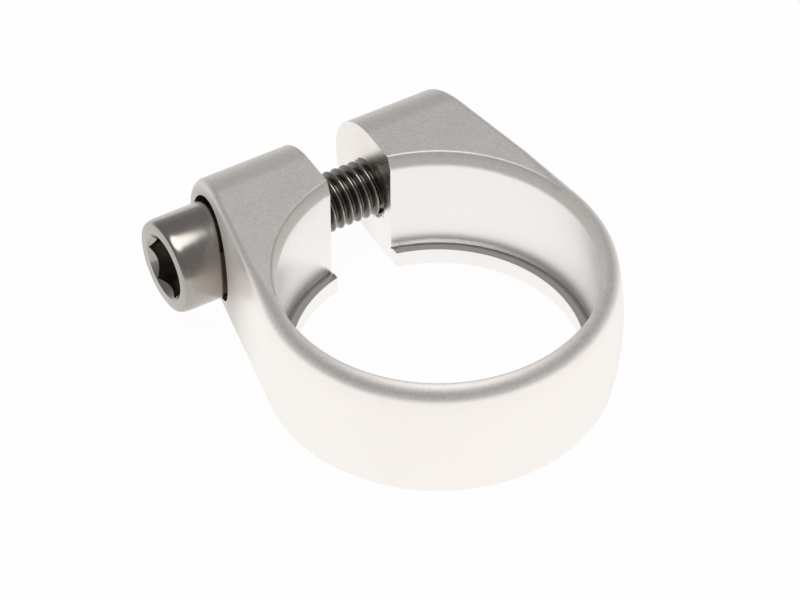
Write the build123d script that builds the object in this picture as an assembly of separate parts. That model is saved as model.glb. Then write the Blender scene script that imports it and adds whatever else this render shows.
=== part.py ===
from build123d import *
import os
from math import cos, radians, sin, tan

# Seatpost clamp: a one-piece split band that closes a seat tube on its post, and the bolt that
# draws its two ears together. Millimetres. Z runs along the bore, +Y out through the slit and
# X along the bolt, whose head is at the -X end. The lip's outer face lies on Z = 0.

# Bore of the band
tube_diameter = 31.8
tube_clearance = 0.05
lip_reach = 1.1
lip_thickness = 1.9
relief_width = 0.45
relief_depth = 0.3
relief_undercut = 0.12
lead_in_width = 0.55
lead_in_depth = 1.45

# Outer wall of the band
band_height = 14.0
wall_thickness = 2.5
crown_drop = 0.7
open_rim_round = 1.8
lip_rim_chamfer = 0.3

# Ears and slit; over the fade the ring's rims turn into the ears' edges
slit_gap = 7.0
ear_taper = 10.5
ear_edge_round = 0.85
rim_fade = 7.0
bolt_reach = 19.9

# Bolt
thread_diameter = 6.0
bolt_length = 25.0
tip_chamfer = 0.6
head_diameter = 10.0
head_height = 6.0
head_chamfer = 0.25
hex_across_flats = 6.0
hex_depth = 3.0
hex_mouth_diameter = 7.1
hex_mouth_angle = 39.0

# Fit of the bolt in the ears; the bolt stands backed out of its seat
counterbore_depth = 4.0
backed_out = 3.35
head_clearance = 0.5
shank_clearance = 0.2
thread_clearance = 0.05

# Sizes that follow from those above
bore_radius = tube_diameter / 2 + tube_clearance
post_opening = tube_diameter - 2 * lip_reach
ring_radius = bore_radius + wall_thickness
rim_radius = ring_radius - crown_drop
mid_height = band_height / 2
ear_end = bolt_reach + mid_height
ear_side_x = (ring_radius - bolt_reach * sin(radians(ear_taper))) / cos(radians(ear_taper))
seat_x = counterbore_depth - ear_side_x
head_underside_x = seat_x - backed_out
head_face_x = head_underside_x - head_height
tip_x = head_underside_x + bolt_length
cut_margin = 1.0
near = 1e-3


def crowned_section():
    """Half section of the band before boring, from the bore axis to the crowned wall."""
    outline = Polyline((rim_radius, 0), (0, 0), (0, band_height), (rim_radius, band_height))
    crown = ThreePointArc((rim_radius, band_height), (ring_radius, mid_height), (rim_radius, 0))
    return make_face(outline + crown)


def rim_corners(section):
    """Corners of the section on its outer wall, from the lip rim up to the open rim."""
    return section.vertices().filter_by(lambda vertex: vertex.X > rim_radius - near).sort_by(Axis.Y)


def ring_section():
    """The section with the ring's rims: a wide round at the open edge, a chamfer at the lip."""
    section = crowned_section()
    section = fillet(rim_corners(section)[-1:], open_rim_round)
    return Plane.XZ * chamfer(rim_corners(section)[:1], lip_rim_chamfer)


def ear_section():
    """The section with both rims rounded as the ears' edges are."""
    section = crowned_section()
    return Plane.XZ * fillet(rim_corners(section), ear_edge_round)


def ring_blank():
    """Back of the ring, turned from one ear's tangent to the other's."""
    return revolve(Rot(0, 0, 180 - ear_taper) * ring_section(), Axis.Z, 180 + 2 * ear_taper)


def ear_blank():
    """The +X ear: the section run out along the tangent, after the ring's rims have faded to its own."""
    along_ear = Vector(-sin(radians(ear_taper)), cos(radians(ear_taper)), 0)
    on_tangent = Rot(0, 0, ear_taper)
    past_fade = Pos(along_ear * rim_fade) * on_tangent
    fade = loft([on_tangent * ring_section(), past_fade * ear_section()], ruled=True)
    ear_run = (ear_end + ring_radius) / cos(radians(ear_taper)) - rim_fade
    ear = extrude(past_fade * (Plane.XZ * crowned_section()), ear_run, along_ear)

    # Seen from the side, the ear ends in a full round on the bolt's axis
    flank_length = ring_radius + cut_margin + bolt_reach
    flank = Pos(bolt_reach - flank_length / 2, mid_height) * Rectangle(flank_length, band_height)
    side_view = Plane.YZ * (flank + Pos(bolt_reach, mid_height) * Circle(mid_height))
    ear = ear & extrude(side_view, ring_radius + cut_margin, both=True)
    return fade + fillet(ear.edges().filter_by(is_rim_edge), ear_edge_round)


def is_rim_edge(edge):
    """True where an ear's crowned side meets its flat faces and its round end."""
    box = edge.bounding_box()
    on_crowned_side = box.min.X > slit_gap
    along_flat_face = box.size.Z < near and box.size.Y > near
    along_round_end = box.size.Z > near and box.min.Y > bolt_reach - near
    return on_crowned_side and (along_flat_face or along_round_end)


def bore_cutter():
    """Post opening, ledge with its undercut corner, bore and lead-in, turned as one profile."""
    profile = Polyline(
        (0, -cut_margin),
        (post_opening / 2, -cut_margin),
        (post_opening / 2, lip_thickness),
        (bore_radius - relief_width, lip_thickness),
        (bore_radius + relief_undercut, lip_thickness - relief_depth),
        (bore_radius, lip_thickness),
        (bore_radius, band_height - lead_in_depth),
        (bore_radius + lead_in_width, band_height),
        (bore_radius + lead_in_width, band_height + cut_margin),
        (0, band_height + cut_margin),
        close=True,
    )
    return revolve(Plane.XZ * make_face(profile), Axis.Z)


def across(diameter, from_x, to_x):
    """A cylinder on the bolt's axis between two X positions."""
    start = Plane(origin=(from_x, bolt_reach, mid_height), x_dir=(0, 1, 0), z_dir=(1, 0, 0))
    return extrude(start * Circle(diameter / 2), to_x - from_x)


def clamp_band():
    """The bored, slit and drilled band."""
    ear = ear_blank()
    blank = ring_blank() + ear + mirror(ear, Plane.YZ)
    outside_x = ring_radius + cut_margin
    slit_run = ear_end + cut_margin
    slit = Pos(0, slit_run / 2, mid_height) * Box(slit_gap, slit_run, band_height + cut_margin)
    clearance_hole = across(thread_diameter + 2 * shank_clearance, -outside_x, 0)
    counterbore = across(head_diameter + 2 * head_clearance, -outside_x, seat_x)
    tapped_hole = across(thread_diameter + 2 * thread_clearance, 0, outside_x)
    return blank - bore_cutter() - slit - clearance_hole - counterbore - tapped_hole


def clamp_bolt():
    """Socket-head cap screw with a plain shank of the thread's outer diameter."""
    head_radius = head_diameter / 2
    shank_radius = thread_diameter / 2
    outline = Polyline(
        (tip_x, 0),
        (head_face_x, 0),
        (head_face_x, head_radius - head_chamfer),
        (head_face_x + head_chamfer, head_radius),
        (head_underside_x, head_radius),
        (head_underside_x, shank_radius),
        (tip_x - tip_chamfer, shank_radius),
        (tip_x, shank_radius - tip_chamfer),
        close=True,
    )
    bolt = Pos(0, bolt_reach, mid_height) * revolve(make_face(outline), Axis.X)
    return bolt - hex_socket()


def hex_socket():
    """Hexagon with a conical mouth, cut from the head's face inwards, one corner towards +Y."""
    mouth_plane = Plane(origin=(head_face_x, bolt_reach, mid_height), x_dir=(0, 1, 0), z_dir=(1, 0, 0))
    hexagon = RegularPolygon(hex_across_flats / 2, 6, major_radius=False)
    mouth_radius = hex_mouth_diameter / 2
    flat_radius = hex_across_flats / 2
    mouth_depth = (mouth_radius - flat_radius) / tan(radians(hex_mouth_angle))
    mouth = Cone(mouth_radius, flat_radius, mouth_depth, align=(Align.CENTER, Align.CENTER, Align.MIN))
    return extrude(mouth_plane * hexagon, hex_depth) + mouth_plane * mouth


os.makedirs("parts", exist_ok=True)
export_step(clamp_band(), "parts/clamp_band.step")
export_step(clamp_bolt(), "parts/clamp_bolt.step")
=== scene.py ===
from math import atan2, cos, hypot, pi, radians, sin, tan

import bmesh
import bpy
from mathutils import Matrix, Vector


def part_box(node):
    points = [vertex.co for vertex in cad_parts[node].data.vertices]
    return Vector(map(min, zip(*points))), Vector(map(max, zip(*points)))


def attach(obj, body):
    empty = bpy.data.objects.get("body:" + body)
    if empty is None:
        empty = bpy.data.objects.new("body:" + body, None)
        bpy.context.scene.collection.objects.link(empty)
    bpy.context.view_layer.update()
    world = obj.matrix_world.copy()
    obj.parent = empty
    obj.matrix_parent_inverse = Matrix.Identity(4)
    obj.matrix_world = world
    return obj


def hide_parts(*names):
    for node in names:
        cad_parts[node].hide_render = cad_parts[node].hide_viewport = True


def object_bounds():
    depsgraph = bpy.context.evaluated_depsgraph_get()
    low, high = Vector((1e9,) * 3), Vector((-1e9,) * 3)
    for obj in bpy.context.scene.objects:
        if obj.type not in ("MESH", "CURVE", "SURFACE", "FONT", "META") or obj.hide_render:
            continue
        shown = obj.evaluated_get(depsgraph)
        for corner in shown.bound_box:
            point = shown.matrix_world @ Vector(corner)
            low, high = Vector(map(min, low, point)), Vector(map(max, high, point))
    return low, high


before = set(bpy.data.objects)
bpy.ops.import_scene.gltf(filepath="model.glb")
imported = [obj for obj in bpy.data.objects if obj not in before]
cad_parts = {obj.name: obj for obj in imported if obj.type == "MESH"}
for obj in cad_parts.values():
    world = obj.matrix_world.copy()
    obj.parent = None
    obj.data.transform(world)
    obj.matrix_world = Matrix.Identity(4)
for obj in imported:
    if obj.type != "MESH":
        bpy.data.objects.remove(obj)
cad_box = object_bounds()

# Seatpost clamp: a blasted aluminium band and the steel bolt that closes it. Metres, in the frame
# of the solids: Z along the bore, +Y out through the slit, X along the bolt with its head at -X.

MM = 0.001

# Photograph: its size, and where the camera stands
PHOTO_WIDTH_PX = 800
PHOTO_HEIGHT_PX = 600
FOCAL_PX = 4680
SENSOR_WIDTH = 36.0
CAMERA_AZIMUTH = radians(-29.8)
CAMERA_ELEVATION = radians(44.3)
CAMERA_ROLL = radians(-0.46)
CAMERA_DISTANCE = 470.2 * MM
CLIP_START = 10 * MM
LEDGE_CENTRE_PX = (438.43, 351.10)

# Limits for finding, joining and shading parts of a mesh
WELD = 0.002 * MM
CUT_WITHIN = WELD / 10
IN_PLANE = 0.001 * MM
CIRCLE_SLACK = 0.02 * MM
LEVEL_FROM = 0.999
FLAT_WITHIN = radians(0.4)
SHARP_FROM = radians(24)
LARGE_FACE_WEIGHT = 80

# Band
BORE_RADIUS = 15.95 * MM
RING_RADIUS = 18.45 * MM
LEDGE_HEIGHT = 1.9 * MM
RELIEF_WIDTH = 0.45 * MM
LEAD_IN_WIDTH = 0.55 * MM
LEAD_IN_DEPTH = 1.45 * MM
LEAD_IN_ROUND = 0.4 * MM
LEAD_IN_STEPS = 5
LEAD_IN_SOFT = 0.28 * MM
EDGE_BREAK = 0.09 * MM
EDGE_BREAK_STEPS = 2
COUNTERBORE_RADIUS = 5.5 * MM
SLIT_HALF = 3.5 * MM

# Bolt; its length, its place and the width of its head come from the solid
HEAD_HEIGHT = 6.0 * MM
HEAD_EDGE_LENGTH = 1.1 * MM
HEAD_EDGE_DROP = 0.3 * MM
HEAD_EDGE_STEPS = 8
HEAD_BREAK = 0.2 * MM
HEAD_BREAK_STEPS = 3
HEAD_STEPS = 96
HEX_ACROSS_FLATS = 6.0 * MM
HEX_CORNER_STEP = radians(60)
HEX_DEPTH = 3.0 * MM
HEX_POINT = 0.5 * MM
HEX_CLEAN = 0.1 * MM
MOUTH_RADIUS = 3.55 * MM
MOUTH_ANGLE = radians(39)
NECK_ROUND = 0.3 * MM

# Thread of the bolt, and of the tapped hole past the bolt's tip
THREAD_RADIUS = 3.0 * MM
THREAD_PITCH = 1.0 * MM
THREAD_DEPTH = 0.6 * MM
THREAD_CREST = 0.16 * MM
THREAD_ROOT = 0.2 * MM
THREAD_ROUND = 0.05 * MM
THREAD_ROUND_STEPS = 2
THREAD_RUN_OUT = 1.5 * MM
THREAD_STEPS = 72
SPARE_TURNS = 2
TIP_CHAMFER = 0.6 * MM
TAP_ROOT_RADIUS = 3.08 * MM
TAP_CREST_RADIUS = 2.55 * MM
TAP_SLEEVE_RADIUS = 3.3 * MM
TAP_PAST_TIP = 0.25 * MM
TAP_END_X = 14.2 * MM

# Grain of both metals: how fine its two noises are, and the level under which each is empty
GRAIN_DETAIL = 2.0
GRAIN_FLOOR = 0.35
CLOUD_DETAIL = 3.0
CLOUD_FLOOR = 0.25
CLOUD_SIZE = 5.0 * MM

# Blasted aluminium: brightest on the ring's wall and in the bore, duller on flats and ears
ALUMINIUM_LIGHT = (0.995, 0.95, 0.913, 1)
ALUMINIUM_BORE = (0.985, 0.962, 0.942, 1)
ALUMINIUM_DARK = (0.78, 0.744, 0.715, 1)
ALUMINIUM_WORN = (0.99, 0.955, 0.925, 1)
ALUMINIUM_ROUGHNESS = (0.26, 0.32)
BLAST_ROUGHNESS = 0.26
BORE_ROUGHNESS = 0.06
EAR_SIDE_ROUGHNESS = 0.22
BLAST_SPECKLE = (0.12, 0.6)
BLAST_SIZE = 0.24 * MM
BLAST_SHARE = 0.7
BLAST_BUMP = 0.12
BLAST_DEPTH = 0.02 * MM
FLAT_SIDE_FROM = 0.1
FLAT_SIDE_FULL = 0.5
EAR_BLEND = 3.0 * MM
EAR_OUTSIDE_X = SLIT_HALF + 0.15 * MM
SLIT_FACE_SHARE = 0.4
RUBBED_LEAST = 0.4

# Turned steel
STEEL_LIGHT = (0.48, 0.448, 0.417, 1)
STEEL_DARK = (0.38, 0.355, 0.33, 1)
STEEL_ROUGHNESS = (0.16, 0.24)
TURNED_LINE = 0.05 * MM
TURNED_DRIFT = 0.02
TURNED_SHARE = 0.6
TURNED_BUMP = 0.05
TURNED_DEPTH = 0.01 * MM

# Oil and painted shade: the share of black in each place, and how the dark ring of oil and shade
# creeps out of the tapped hole
SHADE_AND_OIL_BLACK = (0.045, 0.038, 0.03, 1)
OIL_ROUGHNESS = 0.1
HOLE_DARK = 0.86
RELIEF_DARK = 0.35
LEDGE_DARK = 0.12
THREAD_DARK = 0.74
SOCKET_DARK = 0.26
OIL_AND_SHADE_CREEP = 0.3 * MM
OIL_AND_SHADE_BLOT = 0.5 * MM
OIL_AND_SHADE_SAG = 0.12

# Floor and light
FLOOR_HALF = 2.0
FLOOR_WHITE = (0.9, 0.9, 0.9, 1)
FLOOR_GLOW = 0.975
ROOM_LOW = (0.46, 0.46, 0.46, 1)
ROOM_HIGH = (0.26, 0.26, 0.26, 1)
ROOM_FADE = 0.45
SOFTBOX_FROM = Vector((0.05, 0.01, 1.0))
SOFTBOX_DISTANCE = 0.6
SOFTBOX_WIDTH = 0.42
SOFTBOX_WATTS = 1.05


def finish_mesh(name, bm, body, node, material):
    """Turns a bmesh into the piece that stands for a node and rides on its body."""
    for face in bm.faces:
        face.smooth = True
    mesh = bpy.data.meshes.new(name)
    bm.to_mesh(mesh)
    bm.free()
    piece = bpy.data.objects.new(name, mesh)
    bpy.context.scene.collection.objects.link(piece)
    mesh.materials.append(material)
    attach(piece, body)
    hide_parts(node)
    return piece


def keep_flats_flat(piece):
    """Lets the large faces rule the shading, so that the small edge breaks read as rounds."""
    weighted = piece.modifiers.new("flat faces", "WEIGHTED_NORMAL")
    weighted.mode = "FACE_AREA"
    weighted.weight = LARGE_FACE_WEIGHT
    weighted.keep_sharp = True


# Band: the solid's own form, welded, with its sharp edges broken as blasting leaves them

def is_lead_in_edge(edge):
    """True where the lead-in meets the level top of an ear."""
    rim = BORE_RADIUS + LEAD_IN_WIDTH
    on_rim = all(abs(hypot(v.co.x, v.co.y) - rim) < CIRCLE_SLACK for v in edge.verts)
    return on_rim and any(f.normal.z > LEVEL_FROM for f in edge.link_faces)


def is_bore_face(face):
    """True on the bore's wall and its lead-in."""
    low = BORE_RADIUS - CIRCLE_SLACK
    high = BORE_RADIUS + LEAD_IN_WIDTH + CIRCLE_SLACK
    return all(low < hypot(v.co.x, v.co.y) < high for v in face.verts)


def soften_lead_in_foot(bm):
    """Adds loops just above and below the lead-in's foot, so that its shading turns softly there."""
    foot_z = cad_box[1][2] - LEAD_IN_DEPTH
    for loop_z in (foot_z - LEAD_IN_SOFT, foot_z + LEAD_IN_SOFT):
        wall = [f for f in bm.faces if is_bore_face(f)]
        verts = dict.fromkeys(v for f in wall for v in f.verts)
        edges = dict.fromkeys(e for f in wall for e in f.edges)
        bmesh.ops.bisect_plane(
            bm,
            geom=[*verts, *edges, *wall],
            dist=CUT_WITHIN,
            plane_co=(0, 0, loop_z),
            plane_no=(0, 0, 1),
        )


def is_hole_face(face, bolt_axis):
    """True in the ears' holes for the bolt and its head."""
    reach = max(hypot(v.co.y - bolt_axis.y, v.co.z - bolt_axis.z) for v in face.verts)
    inside_ear = abs(face.calc_center_median().x) > SLIT_HALF + EDGE_BREAK
    return inside_ear and reach < COUNTERBORE_RADIUS + WELD


def is_relief_face(face):
    """True in the corner groove between the ledge and the bore."""
    centre = face.calc_center_median()
    outside_ledge = hypot(centre.x, centre.y) > BORE_RADIUS - RELIEF_WIDTH
    below_ledge = EDGE_BREAK < centre.z < LEDGE_HEIGHT
    return outside_ledge and below_ledge and face.normal.z > 0


def is_ledge_face(face):
    """True on the level ledge that stops the tube."""
    level = face.normal.z > LEVEL_FROM
    return level and abs(face.calc_center_median().z - LEDGE_HEIGHT) < CIRCLE_SLACK


def darken_recesses(bm, bolt_axis):
    """Notes on each face how much painted shade darkens its place: the holes, the relief groove and
    the ledge.
    """
    recess = bm.faces.layers.float["recess_shade"]
    for face in bm.faces:
        if is_hole_face(face, bolt_axis):
            face[recess] = HOLE_DARK
        elif is_relief_face(face):
            face[recess] = RELIEF_DARK
        elif is_ledge_face(face):
            face[recess] = LEDGE_DARK


def sharp_edges(bm):
    """The edges at which the surface turns sharply."""
    return [e for e in bm.edges if e.is_manifold and e.calc_face_angle() > SHARP_FROM]


def mark_sharp_edges(bm):
    """Keeps the shading of the two sides of each sharp edge apart."""
    for edge in sharp_edges(bm):
        edge.smooth = False


def round_edges(bm, edges, width, segments):
    """Rounds edges of a solid and returns the new faces."""
    return bmesh.ops.bevel(
        bm,
        geom=edges,
        offset=width,
        offset_type="OFFSET",
        segments=segments,
        profile=0.5,
        affect="EDGES",
        clamp_overlap=True,
        material=-1,
    )["faces"]


def band(material, bolt_axis):
    """The band, with notes for its finish and shading: broken edges, painted shade in recesses, and
    level sides.
    """
    bm = bmesh.new()
    bm.from_mesh(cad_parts["clamp_band"].data)
    on_edge = bm.faces.layers.float.new("broken_edge")
    bm.faces.layers.float.new("recess_shade")
    flat_side = bm.verts.layers.float.new("flat_side")
    bmesh.ops.remove_doubles(bm, verts=bm.verts[:], dist=WELD)
    bmesh.ops.dissolve_limit(
        bm, angle_limit=FLAT_WITHIN, verts=bm.verts[:], edges=bm.edges[:]
    )
    soften_lead_in_foot(bm)
    bm.normal_update()
    round_edges(bm, [e for e in bm.edges if is_lead_in_edge(e)], LEAD_IN_ROUND, LEAD_IN_STEPS)
    for face in round_edges(bm, sharp_edges(bm), EDGE_BREAK, EDGE_BREAK_STEPS):
        face[on_edge] = 1.0
    darken_recesses(bm, bolt_axis)
    add_tapped_thread(bm, bolt_axis)
    bmesh.ops.recalc_face_normals(bm, faces=bm.faces[:])
    bm.normal_update()
    for vert in bm.verts:
        in_upper_half = vert.co.z > bolt_axis.z
        vert[flat_side] = max(0.0, vert.normal.z) if in_upper_half else 0.0
    keep_flats_flat(finish_mesh("band", bm, "band", "clamp_band", material))


# Bolt: turned about X at the origin, then carried to its place in the mesh

def wire(bm, points):
    """A chain of edges through points given as (x, radius)."""
    verts = [bm.verts.new((x, radius, 0)) for x, radius in points]
    for pair in zip(verts, verts[1:]):
        bm.edges.new(pair)
    return verts


def round_corners(bm, verts, radius, segments):
    """Rounds corners of a wire."""
    bmesh.ops.bevel(
        bm,
        geom=verts,
        offset=radius,
        offset_type="OFFSET",
        segments=segments,
        profile=0.5,
        affect="VERTICES",
        material=-1,
    )


def spin_wires(bm, steps, advance=0.0):
    """Turns every wire once about X; with an advance it becomes one turn of a right-hand helix."""
    wires = [v for v in bm.verts if v.is_wire] + [e for e in bm.edges if e.is_wire]
    bmesh.ops.spin(
        bm,
        geom=wires,
        cent=(0, 0, 0),
        axis=(1, 0, 0),
        dvec=(advance / steps, 0, 0),
        angle=2 * pi,
        steps=steps,
        use_merge=advance == 0,
    )


def rim_at(bm, x):
    """The open edges that lie in one plane across the bolt."""
    open_edges = [e for e in bm.edges if e.is_boundary]
    return [e for e in open_edges if all(abs(v.co.x - x) < IN_PLANE for v in e.verts)]


def set_radius(vert, radius):
    """Moves a vertex straight towards or away from the bolt's axis."""
    share = radius / hypot(vert.co.y, vert.co.z)
    vert.co.y *= share
    vert.co.z *= share


def run_helix(bm, start_x, end_x, from_radius, to_radius):
    """Thread surface from one plane to the other: an outline of one pitch, turned and repeated."""
    half_root = THREAD_ROOT / 2
    flank = (THREAD_PITCH - THREAD_ROOT - THREAD_CREST) / 2
    first_x = start_x - SPARE_TURNS * THREAD_PITCH
    verts = wire(
        bm,
        [
            (first_x, from_radius),
            (first_x + half_root, from_radius),
            (first_x + half_root + flank, to_radius),
            (first_x + half_root + flank + THREAD_CREST, to_radius),
            (first_x + THREAD_PITCH - half_root, from_radius),
            (first_x + THREAD_PITCH, from_radius),
        ],
    )
    round_corners(bm, verts[1:-1], THREAD_ROUND, THREAD_ROUND_STEPS)
    spin_wires(bm, THREAD_STEPS, THREAD_PITCH)
    one_turn = bm.verts[:] + bm.edges[:] + bm.faces[:]
    turns = int((end_x - first_x) / THREAD_PITCH) + SPARE_TURNS
    for turn in range(1, turns):
        copied = bmesh.ops.duplicate(bm, geom=one_turn)["geom"]
        moved = [g for g in copied if isinstance(g, bmesh.types.BMVert)]
        bmesh.ops.translate(bm, vec=(turn * THREAD_PITCH, 0, 0), verts=moved)
    bmesh.ops.remove_doubles(bm, verts=bm.verts[:], dist=WELD)
    for cut_x, outward in ((start_x, -1), (end_x, 1)):
        bmesh.ops.bisect_plane(
            bm,
            geom=bm.verts[:] + bm.edges[:] + bm.faces[:],
            dist=CUT_WITHIN,
            plane_co=(cut_x, 0, 0),
            plane_no=(outward, 0, 0),
            clear_outer=True,
        )


def roll_thread(bm, oil_and_shade, neck_x, tip_x):
    """The bolt's thread, faded out at the neck and chamfered at the tip, with oil and painted shade in
    its roots.
    """
    run_helix(bm, neck_x, tip_x, THREAD_RADIUS - THREAD_DEPTH, THREAD_RADIUS)
    for vert in bm.verts:
        depth = THREAD_DEPTH * min(1.0, (vert.co.x - neck_x) / THREAD_RUN_OUT)
        past_chamfer = max(0.0, vert.co.x - (tip_x - TIP_CHAMFER))
        radius = max(hypot(vert.co.y, vert.co.z), THREAD_RADIUS - depth)
        # Oil and painted shade darken the roots; the crests stay clean
        vert[oil_and_shade] = THREAD_DARK * min(1.0, (THREAD_RADIUS - radius) / THREAD_ROUND)
        set_radius(vert, min(radius, THREAD_RADIUS - past_chamfer))
    bmesh.ops.holes_fill(bm, edges=rim_at(bm, tip_x), sides=0)


def add_tapped_thread(bm, bolt_axis):
    """The thread that shows in the tapped hole past the bolt's tip, as a sleeve sunk into its wall."""
    tip_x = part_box("clamp_bolt")[1].x
    ends = (tip_x + TAP_PAST_TIP, TAP_END_X)
    sleeve = bmesh.new()
    run_helix(sleeve, *ends, TAP_ROOT_RADIUS, TAP_CREST_RADIUS)
    for end_x in ends:
        for vert in sink(sleeve, rim_at(sleeve, end_x))[0]:
            set_radius(vert, TAP_SLEEVE_RADIUS)
    bmesh.ops.bridge_loops(sleeve, edges=rim_at(sleeve, ends[0]) + rim_at(sleeve, ends[1]))
    bmesh.ops.translate(sleeve, vec=bolt_axis, verts=sleeve.verts[:])
    mark_sharp_edges(sleeve)
    mesh = bpy.data.meshes.new("tapped thread")
    sleeve.to_mesh(mesh)
    sleeve.free()
    bm.from_mesh(mesh)
    bpy.data.meshes.remove(mesh)


def turn_head(bm, face_x, underside_x, head_radius):
    """The head from the socket's mouth over its rounded edge to the neck under it."""
    quarter = [radians(90) * step / HEAD_EDGE_STEPS for step in range(HEAD_EDGE_STEPS + 1)]
    rounded_edge = [
        (face_x + HEAD_EDGE_LENGTH * (1 - cos(a)), head_radius - HEAD_EDGE_DROP * (1 - sin(a)))
        for a in quarter
    ]
    heel = (underside_x, head_radius)
    neck = (underside_x, THREAD_RADIUS + NECK_ROUND)
    verts = wire(bm, [(face_x, MOUTH_RADIUS), *rounded_edge, heel, neck])
    round_corners(bm, [verts[-2]], HEAD_BREAK, HEAD_BREAK_STEPS)
    spin_wires(bm, HEAD_STEPS)


def hexagon_radius(vert):
    """Distance from the axis to the hexagon's side in a vertex's direction; a corner points to +Y."""
    from_corner = atan2(vert.co.z, vert.co.y) % HEX_CORNER_STEP
    return HEX_ACROSS_FLATS / 2 / cos(from_corner - HEX_CORNER_STEP / 2)


def sink(bm, rim):
    """Draws a new ring of faces from open edges and returns its far vertices and edges."""
    drawn = bmesh.ops.extrude_edge_only(bm, edges=rim)["geom"]
    verts = [g for g in drawn if isinstance(g, bmesh.types.BMVert)]
    edges = [g for g in drawn if isinstance(g, bmesh.types.BMEdge)]
    return verts, [e for e in edges if e.is_boundary]


def press_socket(bm, oil_and_shade, face_x):
    """Conical mouth, six flats and the pressed point at the bottom, dark inside with oil and painted
    shade.
    """
    verts, rim = sink(bm, rim_at(bm, face_x))
    for vert in verts:
        reach = hexagon_radius(vert)
        set_radius(vert, reach)
        vert.co.x = face_x + (MOUTH_RADIUS - reach) / tan(MOUTH_ANGLE)
    # Painted shade and oil darken the socket's walls
    verts, rim = sink(bm, rim)
    for vert in verts:
        vert.co.x += HEX_CLEAN
        vert[oil_and_shade] = SOCKET_DARK
    verts, rim = sink(bm, rim)
    for vert in verts:
        vert.co.x = face_x + HEX_DEPTH
        vert[oil_and_shade] = SOCKET_DARK
    verts = sink(bm, rim)[0]
    bmesh.ops.pointmerge(bm, verts=verts, merge_co=(face_x + HEX_DEPTH + HEX_POINT, 0, 0))


def bolt(material, bolt_axis):
    """The bolt: thread, head and socket joined at the neck under the head."""
    low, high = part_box("clamp_bolt")
    face_x = low.x
    underside_x = face_x + HEAD_HEIGHT
    neck_x = underside_x + NECK_ROUND
    bm = bmesh.new()
    oil_and_shade = bm.verts.layers.float.new("oil_and_shade")
    roll_thread(bm, oil_and_shade, neck_x, high.x)
    turn_head(bm, face_x, underside_x, (high.y - low.y) / 2)
    press_socket(bm, oil_and_shade, face_x)
    bmesh.ops.bridge_loops(bm, edges=rim_at(bm, underside_x) + rim_at(bm, neck_x))
    bmesh.ops.translate(bm, vec=bolt_axis, verts=bm.verts[:])
    bmesh.ops.recalc_face_normals(bm, faces=bm.faces[:])
    mark_sharp_edges(bm)
    finish_mesh("bolt", bm, "bolt", "clamp_bolt", material)


# Materials

def add_node(tree, kind, **settings):
    node = tree.nodes.new(kind)
    for name, value in settings.items():
        setattr(node, name, value)
    return node


def feed(tree, socket, value):
    """Links an output to a socket, or sets a plain value on it."""
    if isinstance(value, bpy.types.NodeSocket):
        tree.links.new(value, socket)
    else:
        socket.default_value = value


def calculate(tree, operation, *values):
    node = add_node(tree, "ShaderNodeMath", operation=operation)
    for socket, value in zip(node.inputs, values):
        feed(tree, socket, value)
    return node.outputs[0]


def spread(tree, mask, low, high, from_low=0.0, from_high=1.0):
    """Carries a mask from one range of values to another."""
    node = add_node(tree, "ShaderNodeMapRange")
    feed(tree, node.inputs["Value"], mask)
    feed(tree, node.inputs["From Min"], from_low)
    feed(tree, node.inputs["From Max"], from_high)
    feed(tree, node.inputs["To Min"], low)
    feed(tree, node.inputs["To Max"], high)
    return node.outputs["Result"]


def blend_colours(tree, mask, first, second):
    node = add_node(tree, "ShaderNodeMix", data_type="RGBA")
    feed(tree, node.inputs["Factor"], mask)
    colours = [s for s in node.inputs if s.type == "RGBA"]
    feed(tree, colours[0], first)
    feed(tree, colours[1], second)
    return next(s for s in node.outputs if s.type == "RGBA")


def mix_masks(tree, first, second, share):
    """A share of one mask and the rest of another."""
    part = calculate(tree, "MULTIPLY", first, share)
    rest = calculate(tree, "MULTIPLY", second, 1 - share)
    return calculate(tree, "ADD", part, rest)


def distance(tree, across, upward):
    """Distance from an axis, of a place given by two measures square to it."""
    squares = [calculate(tree, "POWER", measure, 2.0) for measure in (across, upward)]
    return calculate(tree, "SQRT", calculate(tree, "ADD", *squares))


def attribute(tree, name):
    return add_node(tree, "ShaderNodeAttribute", attribute_name=name).outputs["Fac"]


def metal_grain():
    """Node group: fine grain and soft clouds, each a mask about one half, at given sizes."""
    tree = bpy.data.node_groups.new("metal grain", "ShaderNodeTree")
    tree.interface.new_socket("Place", in_out="INPUT", socket_type="NodeSocketVector")
    tree.interface.new_socket("Grain Size", in_out="INPUT", socket_type="NodeSocketFloat")
    tree.interface.new_socket("Cloud Size", in_out="INPUT", socket_type="NodeSocketFloat")
    tree.interface.new_socket("Grain", in_out="OUTPUT", socket_type="NodeSocketFloat")
    tree.interface.new_socket("Cloud", in_out="OUTPUT", socket_type="NodeSocketFloat")
    given = add_node(tree, "NodeGroupInput")
    result = add_node(tree, "NodeGroupOutput")
    masks = (
        ("Grain Size", "Grain", GRAIN_DETAIL, GRAIN_FLOOR),
        ("Cloud Size", "Cloud", CLOUD_DETAIL, CLOUD_FLOOR),
    )
    for size, mask, detail, floor_level in masks:
        noise = add_node(tree, "ShaderNodeTexNoise")
        noise.inputs["Detail"].default_value = detail
        feed(tree, noise.inputs["Vector"], given.outputs["Place"])
        feed(tree, noise.inputs["Scale"], calculate(tree, "DIVIDE", 1.0, given.outputs[size]))
        spanned = spread(tree, noise.outputs[0], 0.0, 1.0, floor_level, 1 - floor_level)
        feed(tree, result.inputs[mask], spanned)
    return tree


def place_grain(tree, group, place, grain_size, cloud_size):
    """Places the grain group in a material and returns its two masks."""
    node = add_node(tree, "ShaderNodeGroup", node_tree=group)
    feed(tree, node.inputs["Place"], place)
    feed(tree, node.inputs["Grain Size"], grain_size)
    feed(tree, node.inputs["Cloud Size"], cloud_size)
    return node.outputs["Grain"], node.outputs["Cloud"]


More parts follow.
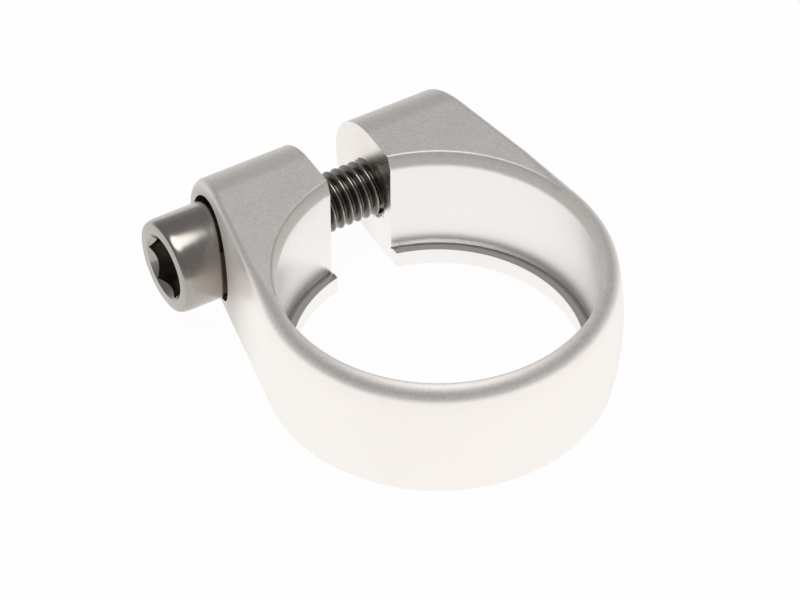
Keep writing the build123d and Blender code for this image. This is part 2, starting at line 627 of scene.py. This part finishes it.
def raise_bump(tree, shader, height, strength, depth):
    bump = add_node(tree, "ShaderNodeBump")
    bump.inputs["Strength"].default_value = strength
    bump.inputs["Distance"].default_value = depth
    feed(tree, bump.inputs["Height"], height)
    feed(tree, shader.inputs["Normal"], bump.outputs[0])


def new_material(name):
    material = bpy.data.materials.new(name)
    material.use_nodes = True
    tree = material.node_tree
    return material, tree, tree.nodes["Principled BSDF"]


def from_bolt_axis(tree, bolt_axis):
    """Place along the bolt, across it and above it."""
    centred = add_node(tree, "ShaderNodeMapping")
    feed(tree, centred.inputs["Vector"], add_node(tree, "ShaderNodeTexCoord").outputs["Object"])
    centred.inputs["Location"].default_value = -bolt_axis
    split = add_node(tree, "ShaderNodeSeparateXYZ")
    feed(tree, split.inputs[0], centred.outputs[0])
    return split.outputs


def from_bore_axis(tree, place):
    """Distance from the axis of the bore."""
    split = add_node(tree, "ShaderNodeSeparateXYZ")
    feed(tree, split.inputs[0], place)
    return distance(tree, *split.outputs[:2])


def oil_and_shade_at_mouth(tree, group, place, bolt_axis):
    """Mask of oil crept out round the mouth of the tapped hole, with painted shade there, mostly below
    it.
    """
    along, across, upward = from_bolt_axis(tree, bolt_axis)
    blots = place_grain(tree, group, place, OIL_AND_SHADE_BLOT, CLOUD_SIZE)[0]
    sag = calculate(tree, "MULTIPLY", upward, OIL_AND_SHADE_SAG)
    sagged = calculate(tree, "ADD", distance(tree, across, upward), sag)
    ragged = calculate(tree, "ADD", sagged, spread(tree, blots, -OIL_AND_SHADE_CREEP, OIL_AND_SHADE_CREEP))
    crept = spread(tree, ragged, 1.0, 0.0, THREAD_RADIUS, THREAD_RADIUS + OIL_AND_SHADE_CREEP)
    by_slit = spread(tree, along, 1.0, 0.0, SLIT_HALF, SLIT_HALF + OIL_AND_SHADE_CREEP)
    on_tapped_ear = calculate(tree, "GREATER_THAN", along, 0.0)
    at_mouth = calculate(tree, "MULTIPLY", crept, by_slit)
    at_mouth = calculate(tree, "MULTIPLY", at_mouth, on_tapped_ear)
    return calculate(tree, "MULTIPLY", at_mouth, HOLE_DARK)


def blasted_aluminium(group, bolt_axis):
    """Bead-blasted, clear anodised aluminium: fine speckle, edges rubbed bright, bolt holes darkened
    with painted shade.
    """
    material, tree, shader = new_material("blasted aluminium")
    place = add_node(tree, "ShaderNodeTexCoord").outputs["Object"]
    grain, cloud = place_grain(tree, group, place, BLAST_SIZE, CLOUD_SIZE)
    tone = mix_masks(tree, grain, cloud, BLAST_SHARE)

    # Where the finish changes: level sides, bore, ears, and the ears' outside
    flats = spread(tree, attribute(tree, "flat_side"), 0.0, 1.0, FLAT_SIDE_FROM, FLAT_SIDE_FULL)
    reach = from_bore_axis(tree, place)
    bore = spread(tree, reach, 1.0, 0.0, BORE_RADIUS, BORE_RADIUS + LEAD_IN_WIDTH)
    past_ring = spread(tree, reach, 0.0, 1.0, RING_RADIUS, RING_RADIUS + EAR_BLEND)
    from_slit = calculate(tree, "ABSOLUTE", from_bolt_axis(tree, bolt_axis)[0])
    outside = calculate(tree, "GREATER_THAN", from_slit, EAR_OUTSIDE_X)
    ears = calculate(tree, "MULTIPLY", past_ring, spread(tree, outside, SLIT_FACE_SHARE, 1.0))
    ear_sides = calculate(tree, "MULTIPLY", ears, calculate(tree, "SUBTRACT", outside, flats))
    blast = calculate(tree, "MAXIMUM", flats, ears)

    # Colour: speckle on the clean metal, then rubbed edges, then painted shade and oil
    darker = calculate(tree, "SUBTRACT", 1.0, tone)
    speckle = calculate(tree, "MULTIPLY", darker, spread(tree, blast, *BLAST_SPECKLE))
    clean = blend_colours(tree, bore, ALUMINIUM_LIGHT, ALUMINIUM_BORE)
    blasted = blend_colours(tree, speckle, clean, ALUMINIUM_DARK)
    wear = spread(tree, cloud, RUBBED_LEAST, 1.0)
    rubbed = calculate(tree, "MULTIPLY", attribute(tree, "broken_edge"), wear)
    worn = blend_colours(tree, rubbed, blasted, ALUMINIUM_WORN)
    # Painted shade in the holes, relief groove and ledge, with oil and painted shade round the tapped
    # hole's mouth
    at_mouth = oil_and_shade_at_mouth(tree, group, place, bolt_axis)
    shaded = calculate(tree, "MAXIMUM", attribute(tree, "recess_shade"), at_mouth)
    feed(tree, shader.inputs["Base Color"], blend_colours(tree, shaded, worn, SHADE_AND_OIL_BLACK))

    roughness = spread(tree, tone, *ALUMINIUM_ROUGHNESS)
    extra = ((blast, BLAST_ROUGHNESS), (bore, BORE_ROUGHNESS), (ear_sides, EAR_SIDE_ROUGHNESS))
    for mask, most in extra:
        roughness = calculate(tree, "ADD", roughness, spread(tree, mask, 0.0, most))
    feed(tree, shader.inputs["Roughness"], roughness)
    shader.inputs["Metallic"].default_value = 1.0
    raise_bump(tree, shader, grain, BLAST_BUMP, BLAST_DEPTH)
    return material


def bolt_steel(group, bolt_axis):
    """Plain turned steel: lines round the axis, and black oil and painted shade in the thread and the
    socket.
    """
    material, tree, shader = new_material("bolt steel")
    along, across, upward = from_bolt_axis(tree, bolt_axis)
    lathe = add_node(tree, "ShaderNodeCombineXYZ")
    feed(tree, lathe.inputs[0], calculate(tree, "ADD", along, distance(tree, across, upward)))
    feed(tree, lathe.inputs[1], calculate(tree, "MULTIPLY", across, TURNED_DRIFT))
    feed(tree, lathe.inputs[2], calculate(tree, "MULTIPLY", upward, TURNED_DRIFT))
    line, cloud = place_grain(tree, group, lathe.outputs[0], TURNED_LINE, CLOUD_SIZE)
    tone = mix_masks(tree, line, cloud, TURNED_SHARE)
    turned = blend_colours(tree, tone, STEEL_DARK, STEEL_LIGHT)
    # Oil and painted shade blacken the thread's roots and the socket
    oil_and_shade = attribute(tree, "oil_and_shade")
    feed(tree, shader.inputs["Base Color"], blend_colours(tree, oil_and_shade, turned, SHADE_AND_OIL_BLACK))
    dry = spread(tree, tone, *STEEL_ROUGHNESS)
    roughness = calculate(tree, "ADD", dry, spread(tree, oil_and_shade, 0.0, OIL_ROUGHNESS))
    feed(tree, shader.inputs["Roughness"], roughness)
    shader.inputs["Metallic"].default_value = 1.0
    raise_bump(tree, shader, line, TURNED_BUMP, TURNED_DEPTH)
    return material


# Floor, light and camera

def floor():
    """A white table: it takes the object's shadow, and looks and mirrors nearly pure white."""
    bm = bmesh.new()
    bmesh.ops.create_grid(bm, x_segments=1, y_segments=1, size=FLOOR_HALF)
    mesh = bpy.data.meshes.new("floor")
    bm.to_mesh(mesh)
    bm.free()
    ground = bpy.data.objects.new("floor", mesh)
    ground.location.z = cad_box[0][2]
    bpy.context.scene.collection.objects.link(ground)

    material, tree, shader = new_material("white table")
    tree.nodes.remove(shader)
    matt = add_node(tree, "ShaderNodeBsdfDiffuse")
    matt.inputs["Color"].default_value = FLOOR_WHITE
    glow = add_node(tree, "ShaderNodeEmission")
    path = add_node(tree, "ShaderNodeLightPath")
    seen = calculate(tree, "MAXIMUM", path.outputs["Is Camera Ray"], path.outputs["Is Glossy Ray"])
    seen = calculate(tree, "MAXIMUM", seen, path.outputs["Is Transmission Ray"])
    mix = add_node(tree, "ShaderNodeMixShader")
    feed(tree, mix.inputs[0], calculate(tree, "MULTIPLY", seen, FLOOR_GLOW))
    feed(tree, mix.inputs[1], matt.outputs[0])
    feed(tree, mix.inputs[2], glow.outputs[0])
    feed(tree, tree.nodes["Material Output"].inputs["Surface"], mix.outputs[0])
    mesh.materials.append(material)


def light():
    """A room that is paler towards its horizon, and a round softbox nearly overhead."""
    world = bpy.data.worlds.new("room")
    bpy.context.scene.world = world
    world.use_nodes = True
    tree = world.node_tree
    split = add_node(tree, "ShaderNodeSeparateXYZ")
    feed(tree, split.inputs[0], add_node(tree, "ShaderNodeTexCoord").outputs["Object"])
    height = spread(tree, split.outputs[2], 0.0, 1.0, 0.0, ROOM_FADE)
    room = blend_colours(tree, height, ROOM_LOW, ROOM_HIGH)
    feed(tree, tree.nodes["Background"].inputs["Color"], room)
    lamp = bpy.data.lights.new("softbox", "AREA")
    lamp.shape = "DISK"
    lamp.size = SOFTBOX_WIDTH
    lamp.energy = SOFTBOX_WATTS
    holder = bpy.data.objects.new("softbox", lamp)
    direction = SOFTBOX_FROM.normalized()
    holder.location = direction * SOFTBOX_DISTANCE
    holder.rotation_euler = direction.to_track_quat("Z", "Y").to_euler()
    bpy.context.scene.collection.objects.link(holder)


def camera():
    """Stands where the photograph was taken from: the ledge's centre falls on its pixel."""
    level = Vector((cos(CAMERA_AZIMUTH), sin(CAMERA_AZIMUTH), 0))
    ahead = Vector((-sin(CAMERA_AZIMUTH), cos(CAMERA_AZIMUTH), 0))
    back = sin(CAMERA_ELEVATION) * Vector((0, 0, 1)) - cos(CAMERA_ELEVATION) * ahead
    rise = back.cross(level)
    right = cos(CAMERA_ROLL) * level + sin(CAMERA_ROLL) * rise
    up = cos(CAMERA_ROLL) * rise - sin(CAMERA_ROLL) * level
    per_pixel = CAMERA_DISTANCE / FOCAL_PX
    to_right = (LEDGE_CENTRE_PX[0] - PHOTO_WIDTH_PX / 2) * per_pixel
    to_top = (PHOTO_HEIGHT_PX / 2 - LEDGE_CENTRE_PX[1]) * per_pixel
    lens = bpy.data.cameras.new("camera")
    lens.sensor_fit = "HORIZONTAL"
    lens.sensor_width = SENSOR_WIDTH
    lens.lens = FOCAL_PX / PHOTO_WIDTH_PX * SENSOR_WIDTH
    lens.clip_start = CLIP_START
    holder = bpy.data.objects.new("camera", lens)
    holder.matrix_world = Matrix((right, up, back)).transposed().to_4x4()
    aim = Vector((0, 0, LEDGE_HEIGHT)) - to_right * right - to_top * up
    holder.location = aim + CAMERA_DISTANCE * back
    bpy.context.scene.collection.objects.link(holder)
    bpy.context.scene.camera = holder


bolt_low, bolt_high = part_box("clamp_bolt")
bolt_centre = (bolt_low + bolt_high) / 2
bolt_line = Vector((0, bolt_centre.y, bolt_centre.z))
grain_group = metal_grain()
band(blasted_aluminium(grain_group, bolt_line), bolt_line)
bolt(bolt_steel(grain_group, bolt_line), bolt_line)
floor()
light()
camera()
bpy.context.scene.view_settings.view_transform = "Standard"
